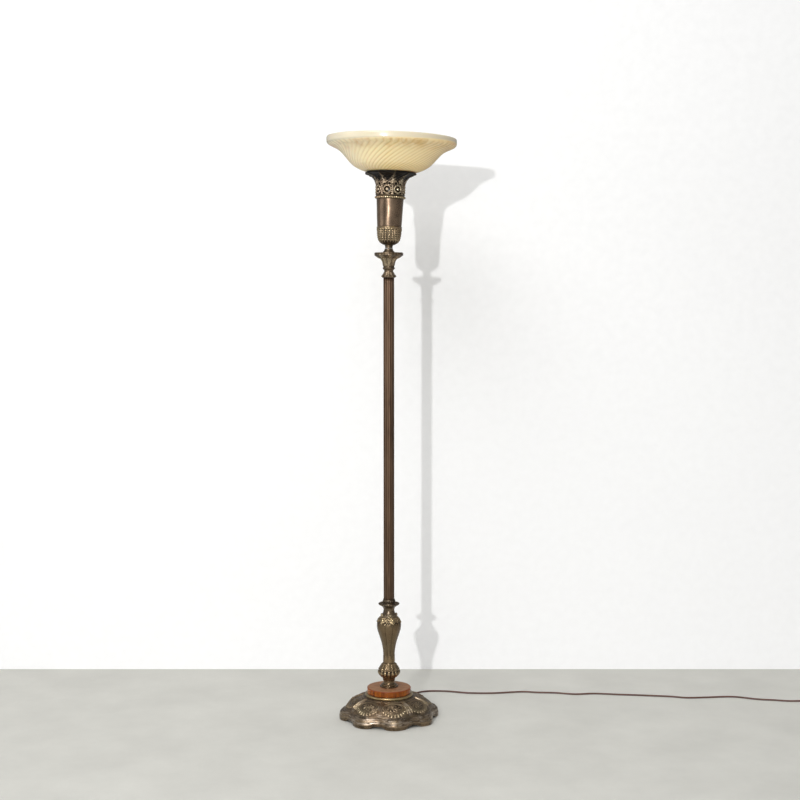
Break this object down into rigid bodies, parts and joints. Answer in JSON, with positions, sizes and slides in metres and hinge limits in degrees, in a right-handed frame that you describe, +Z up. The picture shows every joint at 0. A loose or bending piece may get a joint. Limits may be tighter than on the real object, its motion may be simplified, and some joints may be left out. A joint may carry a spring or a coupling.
{
  "type": "torchiere floor lamp",
  "caption": "Floor lamp with an up-turned ribbed glass bowl on a leafed urn, a fluted column and a heavy lobed base.",
  "frame": {"origin": "on the floor under the middle of the column", "axes": "+Z up the column, -Y towards the viewer of the front, +X to the right, where the cord runs"},
  "size_m": [1.5785, 0.4616, 1.7252],
  "materials": {
    "aged_brass": "antique brown patina with rubbed highlights",
    "bright_brass": "satin, lightly tarnished",
    "brown_patina": "brown copper patina, satin",
    "iron": "rough cast",
    "steel": "plain machined",
    "amber_wood": "amber varnish, worn matt on top",
    "cream_glass": "translucent cream, spiral ribs",
    "frosted_glass": "frosted inside",
    "porcelain": "glazed white",
    "black_rubber": "matt",
    "black_plastic": "moulded, satin",
    "brown_cord": "brown lamp cord, satin"
  },
  "bodies": {
    "stand": {"base_shell": "aged_brass", "base_weight": "iron", "base_washer": "steel", "base_nut": "steel", "cord_bushing": "black_rubber", "seat_ring": "bright_brass", "accent_disc": "amber_wood", "vase_foot": "aged_brass", "knop": "aged_brass", "vase_body": "aged_brass", "vase_cap": "aged_brass", "column_collar": "bright_brass", "column_tube": "brown_patina", "column_lower_plug": "steel", "column_upper_plug": "steel", "center_pipe": "steel", "capital_neck": "aged_brass", "capital_bell": "aged_brass", "finial_cone": "aged_brass", "head_stem": "aged_brass", "head_pipe": "steel", "head_locknut": "steel", "urn_cup": "aged_brass", "urn_body": "aged_brass", "bead_ring": "aged_brass", "crown": "aged_brass", "shade_seat_plate": "aged_brass", "shade_gasket": "black_rubber", "socket_cap": "bright_brass", "socket_shell": "bright_brass", "socket_insulator": "porcelain", "screw_liner": "bright_brass", "center_contact": "bright_brass", "switch_housing": "black_plastic", "inner_lead": "brown_cord", "cord": "brown_cord", "cord_coil": "brown_cord", "plug_body": "black_plastic", "plug_prong_left": "bright_brass", "plug_prong_right": "bright_brass"},
    "shade": {"glass_shade": "cream_glass"},
    "bulb": {"bulb_cap": "bright_brass", "bulb_contact": "steel", "bulb_glass": "frosted_glass"},
    "switch": {"switch_shaft": "steel", "switch_knob": "black_plastic"}
  },
  "joints": [
    {"name": "shade_lift", "type": "slide", "parent": "stand", "child": "shade", "axis": [0.0279, 0, 0.9996], "range_m": [0, 0.12]},
    {"name": "bulb_out", "type": "slide", "parent": "stand", "child": "bulb", "axis": [0.0279, 0, 0.9996], "range_m": [0, 0.15]},
    {"name": "switch_turn", "type": "hinge", "parent": "stand", "child": "switch", "pos_m": [0.0048, 0.05, 1.57193], "axis": [0, 1, 0], "continuous": true}
  ]
}
